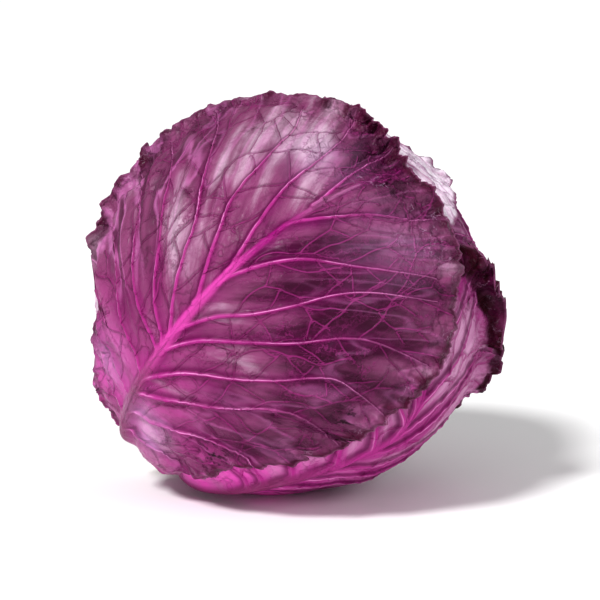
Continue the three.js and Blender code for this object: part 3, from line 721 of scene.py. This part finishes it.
def heart_object():
    """The tight inner head: a slightly bumpy ball, its tone varied in bands round the stalk like the bases of
    its own leaves.
    """
    rings, segments = 90, 160
    angle, turn = np.meshgrid(
        np.linspace(0, math.pi, rings + 1)[1:-1], np.arange(segments) * 2 * math.pi / segments, indexing="ij"
    )
    axis_points = np.array([STALK_AXIS, -STALK_AXIS])
    d = (
        STALK_AXIS * np.cos(angle)[..., None]
        + FRONT * (np.sin(angle) * np.cos(turn))[..., None]
        + RAISED * (np.sin(angle) * np.sin(turn))[..., None]
    ).reshape(-1, 3)
    d = np.concatenate([axis_points[:1], d, axis_points[1:]])
    fold = waves(np.stack([5 * np.arctan2(d @ RAISED, d @ FRONT), 2 * (d @ STALK_AXIS)], axis=-1), 3, 3)
    relief = 0.5 * waves(d * MAP_RADIUS, 14, 5) + 0.3 * waves(d * MAP_RADIUS, 5, 6)
    points = settle(d * (head_radius(d) + 0.4 * relief - 0.4)[:, None], d)
    grid = 1 + np.arange((rings - 1) * segments).reshape(rings - 1, segments)
    ahead = np.roll(grid, -1, axis=1)
    faces = np.stack([grid[:-1], grid[1:], ahead[1:], ahead[:-1]], axis=-1).reshape(-1, 4).tolist()
    faces += [[0, a, b] for a, b in zip(grid[0], ahead[0])]
    last = len(points) - 1
    faces += [[last, b, a] for a, b in zip(grid[-1], ahead[-1])]
    near = smoothstep(70, 15, np.degrees(np.arccos(np.clip(d @ STALK_AXIS, -1, 1))))
    values = dict(
        tone=0.3 + 0.1 * fold, flush=0.3 + 0.5 * near, deep=0.3 * near, midrib=0.2 * near, share=1 - near,
        pleat=np.full(len(d), 0.4), across=d @ RAISED * 0.08, along=d @ FRONT * 0.08,
    )
    for key in ("rib_gap", "rib_side", "vein_gap", "vein_side"):
        values[key] = np.full(len(d), 9.0)
    for key in ("rim", "torn", "wax_and_sheen", "crumple", "lip", "blister", "inside"):
        values[key] = np.zeros(len(d))
    return mesh_object("heart", points, faces, values)


def stalk_object():
    """The cut stalk: a slightly uneven stub with a rough, ringed cut face."""
    radius, foot, end = 15.5, 81.5, 95.5
    around, steps = 96, 40
    turn = np.arange(around) * 2 * math.pi / around
    profile = [(radius * 0.97, foot), (radius, foot + 1)]
    profile += [(radius, z) for z in np.linspace(foot + 2, end - 1.6, 14)]
    profile += [(radius - 1.4 * (1 - math.cos(t)), end - 1.4 + 1.4 * math.sin(t)) for t in (0.5, 1.0, 1.4)]
    profile += [(r, end) for r in np.linspace(radius - 1.8, 0.6, steps)]
    points, core = [], []
    for r, z in profile:
        ring = np.stack([r * np.cos(turn), r * np.sin(turn), np.full(around, float(z))], axis=-1)
        if r >= radius - 1.6:
            wobble = 0.3 * waves(ring, 9, 71) + 0.15 * waves(ring, 3, 72)
            ring[:, :2] *= (0.98 + wobble / radius)[:, None]
        else:
            ring[:, 2] += 0.22 * waves(ring * (1, 1, 0), 5, 73) + 0.15 * waves(ring[:, :1], 2.2, 74) - 0.3
        points.append(ring)
        core.append(np.full(around, 0.0 if z < end - 1.5 else 1.0))
    points = np.concatenate(points)
    core = np.concatenate(core)
    grid = np.arange(len(profile) * around).reshape(len(profile), around)
    ahead = np.roll(grid, -1, axis=1)
    faces = np.stack([grid[:-1], ahead[:-1], ahead[1:], grid[1:]], axis=-1).reshape(-1, 4).tolist()
    faces += [grid[0][::-1].tolist(), grid[-1].tolist()]
    radial = np.hypot(points[:, 0], points[:, 1]) / radius
    placed = points[:, :1] * FRONT + points[:, 1:2] * RAISED + points[:, 2:] * STALK_AXIS + HEAD_CENTRE
    return mesh_object("stalk", placed, faces, dict(core=core, radial=radial))


# Materials

def linear(*srgb):
    return (*[(c / 255 / 12.92) if c <= 10 else ((c / 255 + 0.055) / 1.055) ** 2.4 for c in srgb], 1)


class Shader:
    """A short way to write a node tree that ends in one Principled shader."""

    def __init__(self, name):
        self.material = bpy.data.materials.new(name)
        self.material.use_nodes = True
        self.tree = self.material.node_tree
        self.surface = self.tree.nodes["Principled BSDF"]

    def node(self, kind, **settings):
        made = self.tree.nodes.new(kind)
        for key, value in settings.items():
            setattr(made, key, value)
        return made

    def put(self, socket, value):
        if isinstance(value, bpy.types.NodeSocket):
            self.tree.links.new(value, socket)
        else:
            socket.default_value = value

    def attribute(self, name):
        return self.node("ShaderNodeAttribute", attribute_name=name).outputs["Fac"]

    def place(self):
        return self.node("ShaderNodeTexCoord").outputs["Object"]

    def noise(self, scale, detail=3.0, roughness=0.5, where=None):
        made = self.node("ShaderNodeTexNoise")
        self.put(made.inputs["Scale"], scale)
        self.put(made.inputs["Detail"], detail)
        self.put(made.inputs["Roughness"], roughness)
        self.put(made.inputs["Vector"], where or self.place())
        return made.outputs["Fac"]

    def cells(self, scale, where=None):
        """0 on the edges of irregular cells, rising to their middles."""
        made = self.node("ShaderNodeTexVoronoi", feature="DISTANCE_TO_EDGE")
        self.put(made.inputs["Scale"], scale)
        warp = self.node("ShaderNodeVectorMath", operation="MULTIPLY_ADD")
        shift = self.node("ShaderNodeTexNoise")
        self.put(shift.inputs["Scale"], scale * 0.8)
        self.put(warp.inputs[0], shift.outputs["Color"])
        self.put(warp.inputs[1], (0.5 / scale,) * 3)
        self.put(warp.inputs[2], where or self.place())
        self.put(made.inputs["Vector"], warp.outputs["Vector"])
        return made.outputs["Distance"]

    def math(self, operation, a, b=0.0, c=0.0, clamp=False):
        made = self.node("ShaderNodeMath", operation=operation, use_clamp=clamp)
        for socket, value in zip(made.inputs, (a, b, c)):
            self.put(socket, value)
        return made.outputs["Value"]

    def times(self, a, b, clamp=False):
        return self.math("MULTIPLY", a, b, clamp=clamp)

    def off_middle(self, value):
        """How far a noise is from its middle value, which it crosses along thin lines."""
        return self.math("ABSOLUTE", self.math("SUBTRACT", value, 0.5))

    def span(self, value, low, high, to_low=0.0, to_high=1.0):
        made = self.node("ShaderNodeMapRange", interpolation_type="SMOOTHSTEP")
        keys = ("Value", "From Min", "From Max", "To Min", "To Max")
        for key, number in zip(keys, (value, low, high, to_low, to_high)):
            self.put(made.inputs[key], number)
        return made.outputs["Result"]

    def hump(self, value, start, top, end):
        """0 up to start, 1 at top, 0 from end on."""
        return self.times(self.span(value, start, top), self.span(value, top, end, 1.0, 0.0))

    def mix(self, share, a, b):
        made = self.node("ShaderNodeMix", data_type="RGBA")
        self.put(made.inputs["Factor"], share)
        self.put(made.inputs["A"], a)
        self.put(made.inputs["B"], b)
        return made.outputs["Result"]

    def leaf_place(self, lengthwise):
        """A place on the leaf: across its side ribs and, shortened by lengthwise, along them."""
        made = self.node("ShaderNodeCombineXYZ")
        self.put(made.inputs["X"], self.attribute("across"))
        self.put(made.inputs["Y"], self.times(self.attribute("along"), lengthwise))
        return made.outputs["Vector"]

    def line(self, side, gap, core, edge):
        """1 on a line given by its signed and plain distances, falling to 0 at edge."""
        off = self.span(self.math("ABSOLUTE", self.attribute(side)), core, edge, 1.0, 0.0)
        return self.times(off, self.span(self.attribute(gap), 1.2, 1.7, 1.0, 0.0))

    def bump(self, height, strength, distance, normal=None):
        made = self.node("ShaderNodeBump")
        self.put(made.inputs["Strength"], strength)
        self.put(made.inputs["Distance"], distance)
        self.put(made.inputs["Height"], height)
        if normal is not None:
            self.put(made.inputs["Normal"], normal)
        return made.outputs["Normal"]


def leaf_material(name, colours, near_rib=(206, 72, 164), shine=0.13):
    """Leaf skin: pale to dark blade, magenta round its ribs, dark at the rim and on its inner face."""
    pale, middle, dark, magenta, vein, rim_colour, far_rib = (linear(*colour) for colour in colours)
    s = Shader(name)
    mottle = s.noise(38, 4, 0.55)
    streaks = s.noise(150, 4, 0.6, s.leaf_place(0.1))
    fine = s.noise(240, 4, 0.6)
    patchy = s.span(s.noise(45, 3), 0.4, 0.62, 0.15, 1.0)
    crumple, pleat, blister = s.attribute("crumple"), s.attribute("pleat"), s.attribute("blister")

    # The blade
    tone = s.math("ADD", s.attribute("tone"), s.span(mottle, 0.3, 0.7, -0.1, 0.1))
    tone = s.math("ADD", tone, s.span(streaks, 0.3, 0.7, -0.18, 0.18))
    body = s.mix(s.span(tone, 0.0, 0.5), pale, middle)
    body = s.mix(s.span(tone, 0.45, 1.0), body, dark)
    flush = s.times(s.attribute("flush"), s.span(streaks, 0.28, 0.68, 0.3, 1.1), clamp=True)
    body = s.mix(flush, body, magenta)
    deep = s.times(s.attribute("deep"), s.span(s.noise(70, 4), 0.3, 0.7, 0.55, 0.95))
    body = s.mix(deep, body, linear(132, 0, 102))

    # Fine veins, with a painted shadow along one side of each, the nets between them, creases darkened with
    # painted shade, and pleats with painted shade beside each fold and a painted highlight on its crest
    vein = s.mix(s.span(tone, 0.45, 0.8), vein, linear(146, 44, 114))
    net = s.times(s.span(s.cells(105, s.leaf_place(0.42)), 0.0, 0.05, 1.0, 0.0), patchy)
    body = s.mix(s.times(net, 0.45), body, vein)
    fine_net = s.span(s.cells(260, s.leaf_place(0.6)), 0.0, 0.1, 1.0, 0.0)
    body = s.mix(s.times(fine_net, 0.14), body, vein)
    vein_line = s.line("vein_side", "vein_gap", 0.15, 0.55)
    body = s.mix(s.times(vein_line, 0.6), body, vein)
    # Painted shadow: a dark band along one side of each fine vein
    body = s.mix(s.times(s.hump(s.attribute("vein_side"), 0.3, 0.7, 1.8), 0.35), body, dark)
    # Painted shade: the thin creases are darkened as if shaded
    creases = s.times(s.span(s.off_middle(s.noise(62, 3, 0.5)), 0.0, 0.022, 1.0, 0.0), patchy)
    body = s.mix(s.times(creases, 0.3), body, dark)
    ply = s.noise(105, 2.0, 0.5, s.leaf_place(0.13))
    # Painted shade on one side of each pleat's fold, and a painted highlight along its crest
    body = s.mix(s.times(s.times(s.hump(ply, 0.5, 0.54, 0.68), pleat), 0.6), body, dark)
    ply_crest = s.times(s.span(s.off_middle(ply), 0.0, 0.035, 1.0, 0.0), pleat)
    body = s.mix(s.times(ply_crest, 0.45), body, linear(208, 124, 186))

    # The dark rim and its thin pale lip
    rim = s.times(s.attribute("rim"), s.span(s.noise(90, 4), 0.3, 0.62, 0.8, 1.0), clamp=True)
    body = s.mix(rim, body, rim_colour)
    body = s.mix(s.times(s.attribute("lip"), 0.5), body, linear(160, 96, 136))

    # The midrib and the side ribs, each with a painted shadow along one flank and a painted highlight beside
    # its crest
    along = s.attribute("share")
    bare = s.math("SUBTRACT", 1.0, s.times(rim, 0.85))
    rib_side = s.attribute("rib_side")
    # Painted shadow: a dark band along one side of each side rib
    body = s.mix(s.times(s.hump(rib_side, 0.5, 0.8, 2.2), 0.65), body, linear(80, 0, 58))
    side_rib = s.mix(s.span(along, 0.5, 0.75), linear(178, 52, 140), linear(142, 34, 108))
    side_rib = s.mix(s.span(along, 0.75, 0.95), side_rib, far_rib)
    rib_line = s.line("rib_side", "rib_gap", 0.2, 0.7)
    body = s.mix(s.times(s.times(rib_line, bare), s.span(along, 0.6, 1.0, 0.8, 0.45)), body, side_rib)
    # Painted highlight: a pale line along one side of each rib's crest, broken up by noise
    highlight_breaks = s.span(s.noise(60, 3), 0.4, 0.65, 0.1, 0.85)
    crest = s.times(s.times(s.hump(rib_side, 0.02, 0.2, 0.5), bare), highlight_breaks)
    body = s.mix(crest, body, linear(222, 142, 198))
    midrib = s.mix(s.span(along, 0.3, 0.5), linear(136, 58, 104), linear(*near_rib))
    midrib = s.mix(s.span(along, 0.64, 0.74), midrib, linear(156, 18, 120))
    midrib = s.mix(s.span(along, 0.76, 0.9), midrib, far_rib)
    body = s.mix(s.times(s.attribute("midrib"), s.span(along, 0.4, 1.0, 0.9, 0.7)), body, midrib)

    # Wrinkles darkened with painted shade, waxy bloom that is partly a painted sheen, painted highlights on
    # the crests of blisters, and cracks where the blade is torn, painted dark as the shade inside them
    wrinkle = s.off_middle(s.noise(88, 3, 0.5))
    # Painted shade in the wrinkles near the margin
    wrinkle_shade = s.times(s.span(wrinkle, 0.0, 0.04, 1.0, 0.0), crumple, clamp=True)
    body = s.mix(s.times(wrinkle_shade, 0.55), body, dark)
    # Waxy bloom that is partly a painted sheen: pale spots and a faint pale mottle
    wax_and_sheen = s.times(s.attribute("wax_and_sheen"), s.span(streaks, 0.35, 0.65, 0.3, 1.0))
    bloom_and_sheen = s.math("ADD", s.span(s.noise(55, 6, 0.65), 0.5, 0.8, 0.0, 0.03), wax_and_sheen, clamp=True)
    body = s.mix(bloom_and_sheen, body, linear(206, 168, 212))
    # Painted highlight: thin pale glints on the crests of the blisters
    blister_glints = s.span(s.off_middle(s.noise(150, 3, 0.55)), 0.0, 0.016, 1.0, 0.0)
    blister_glints = s.times(blister_glints, s.span(s.noise(85, 2), 0.5, 0.66))
    body = s.mix(s.times(blister_glints, blister, clamp=True), body, linear(196, 164, 192))
    # Painted shade: the cracks in the torn blade are painted near black, as the shade inside them
    cracks = s.times(s.attribute("torn"), s.span(s.noise(520, 3.0, 0.6, s.leaf_place(0.22)), 0.5, 0.58))
    body = s.mix(cracks, body, linear(38, 6, 26))

    within = s.mix(s.span(mottle, 0.35, 0.7), linear(40, 0, 20), linear(84, 14, 52))
    s.put(s.surface.inputs["Base Color"], s.mix(s.attribute("inside"), body, within))
    rough = s.math("SUBTRACT", s.span(fine, 0.3, 0.7, 0.29, 0.46), s.times(blister, 0.1))
    s.put(s.surface.inputs["Roughness"], rough)
    s.surface.inputs["Specular IOR Level"].default_value = shine
    s.surface.inputs["Subsurface Weight"].default_value = 0.04
    s.surface.inputs["Subsurface Radius"].default_value = (0.003, 0.001, 0.002)
    s.surface.inputs["Subsurface Scale"].default_value = 1.0

    relief = None
    for height, strength, depth in (
        (s.noise(130, 5, 0.6), 0.3, 0.001),
        (streaks, 0.4, 0.001),
        (s.times(ply, pleat), 0.6, 0.004),
        (rib_line, 0.6, 0.0007),
        (vein_line, 0.7, 0.0005),
        (ply_crest, 0.5, 0.0005),
        (net, 0.6, 0.0004),
        (fine_net, 0.3, 0.00025),
        (creases, 0.5, 0.0004),
        (s.times(wrinkle, crumple), 0.7, 0.006),
        (s.times(s.span(s.cells(240), 0.0, 0.35), blister), 0.6, 0.0008),
        (s.times(cracks, -1.0), 0.8, 0.001),
        (fine, 0.2, 0.0004),
    ):
        relief = s.bump(height, strength, depth, relief)
    s.put(s.surface.inputs["Normal"], relief)
    return s.material


def stalk_material():
    s = Shader("stalk_tissue")
    radial = s.attribute("radial")
    core = s.attribute("core")
    grain = s.noise(300, 5, 0.6)
    face = s.mix(s.span(radial, 0.3, 0.78), linear(232, 222, 205), linear(206, 186, 196))
    face = s.mix(s.span(radial, 0.78, 0.95), face, linear(150, 84, 128))
    face = s.mix(s.span(s.noise(60, 5), 0.5, 0.75, 0.0, 0.55), face, linear(158, 124, 92))
    side = s.mix(s.span(s.noise(50, 5), 0.35, 0.65), linear(196, 130, 176), linear(222, 196, 208))
    s.put(s.surface.inputs["Base Color"], s.mix(core, side, face))
    s.put(s.surface.inputs["Roughness"], s.span(grain, 0.3, 0.7, 0.5, 0.75))
    s.put(s.surface.inputs["Normal"], s.bump(grain, 0.5, 0.0008))
    return s.material


# The colours are for the pale, middle and dark blade, the magenta, the fine veins, the rim and the far ends
# of the ribs
FINISHES = {
    "wrapper_leaf_front": leaf_material(
        "front_leaf_skin",
        [(188, 158, 178), (128, 68, 104), (50, 2, 32), (200, 74, 160),
         (108, 20, 80), (72, 10, 44), (168, 100, 144)],
    ),
    "wrapper_leaf_under": leaf_material(
        "under_leaf_skin",
        [(200, 150, 184), (160, 64, 130), (96, 12, 66), (246, 104, 204),
         (150, 20, 112), (46, 0, 18), (176, 92, 146)],
        near_rib=(172, 54, 136), shine=0.08,
    ),
    "wrapper_leaf_top": leaf_material(
        "top_leaf_skin",
        [(226, 214, 226), (180, 132, 166), (84, 30, 70), (216, 66, 168),
         (170, 124, 162), (100, 52, 84), (222, 200, 218)],
    ),
    "wrapper_leaf_back_low": leaf_material(
        "back_low_leaf_skin",
        [(186, 136, 168), (126, 54, 102), (60, 8, 44), (194, 62, 156),
         (114, 22, 86), (72, 10, 46), (190, 106, 164)],
    ),
    "wrapper_leaf_back_high": leaf_material(
        "back_high_leaf_skin",
        [(186, 136, 170), (132, 58, 108), (62, 10, 46), (196, 64, 158),
         (116, 24, 88), (74, 12, 48), (190, 108, 166)],
    ),
}

for number, leaf in enumerate(LEAVES):
    piece = leaf_object(leaf, number)
    piece.data.materials.append(FINISHES[leaf["node"]])
    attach(piece, "root")
    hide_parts(leaf["node"])

heart = heart_object()
heart_skin = leaf_material(
    "heart_skin",
    [(190, 140, 176), (140, 72, 118), (72, 22, 56), (186, 66, 150),
     (120, 28, 92), (80, 30, 60), (200, 130, 180)],
)
heart.data.materials.append(heart_skin)
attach(heart, "root")
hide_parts("inner_head")

stalk = stalk_object()
stalk.data.materials.append(stalk_material())
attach(stalk, "root")
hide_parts("cut_stalk")

# Floor, light and camera

bpy.context.scene.view_settings.view_transform = "Standard"
bpy.context.scene.view_settings.look = "Medium High Contrast"

FLOOR_HALF = 9.0
corners = [(FLOOR_HALF * x, FLOOR_HALF * y, 0) for x, y in ((-1, -1), (1, -1), (1, 1), (-1, 1))]
floor_mesh = bpy.data.meshes.new("floor")
floor_mesh.from_pydata(corners, [], [(0, 1, 2, 3)])
floor = bpy.data.objects.new("floor", floor_mesh)
bpy.context.scene.collection.objects.link(floor)
ground = Shader("pale_floor")
ground.surface.inputs["Base Color"].default_value = (0.9, 0.9, 0.9, 1)
ground.surface.inputs["Roughness"].default_value = 0.7
floor.data.materials.append(ground.material)

world = bpy.data.worlds.new("studio")
bpy.context.scene.world = world
world.use_nodes = True
world.node_tree.nodes["Background"].inputs["Color"].default_value = (1, 1, 1, 1)
world.node_tree.nodes["Background"].inputs["Strength"].default_value = 0.42

sun_data = bpy.data.lights.new("key", "SUN")
sun_data.energy = 2.7
sun_data.angle = 12 * DEG
sun = bpy.data.objects.new("key", sun_data)
sun.rotation_euler = Vector((0.5, 0.6, -0.9)).to_track_quat("-Z", "Y").to_euler()
bpy.context.scene.collection.objects.link(sun)

for name, watts, location in (("fill", 2.5, (0.75, -0.6, 0.6)), ("low_fill", 0.8, (0.05, -0.75, 0.03))):
    fill_data = bpy.data.lights.new(name, "AREA")
    fill_data.shape = "DISK"
    fill_data.size = 0.5
    fill_data.energy = watts
    fill = bpy.data.objects.new(name, fill_data)
    fill.location = location
    fill.rotation_euler = (Vector(HEAD_CENTRE * MM) - fill.location).to_track_quat("-Z", "Y").to_euler()
    bpy.context.scene.collection.objects.link(fill)

# The camera looks down by TILT at a point that puts the head where the photo has it: the head's middle is
# OFF_CENTRE pixels left of and above the middle of the picture
TILT = 10 * DEG
DISTANCE = 0.95
PICTURE = 600
PIXEL = 0.42 * MM
OFF_CENTRE = (7, 3)
SENSOR = 36
camera_data = bpy.data.cameras.new("camera")
camera_data.sensor_width = SENSOR
camera_data.lens = SENSOR * DISTANCE / (PICTURE * PIXEL)
camera = bpy.data.objects.new("camera", camera_data)
bpy.context.scene.collection.objects.link(camera)
look = Vector((0, math.cos(TILT), -math.sin(TILT)))
upwards = Vector((0, math.sin(TILT), math.cos(TILT)))
target = Vector(HEAD_CENTRE * MM) + Vector((OFF_CENTRE[0] * PIXEL, 0, 0)) - upwards * OFF_CENTRE[1] * PIXEL
camera.location = target - look * DISTANCE
camera.rotation_euler = look.to_track_quat("-Z", "Y").to_euler()
bpy.context.scene.camera = camera
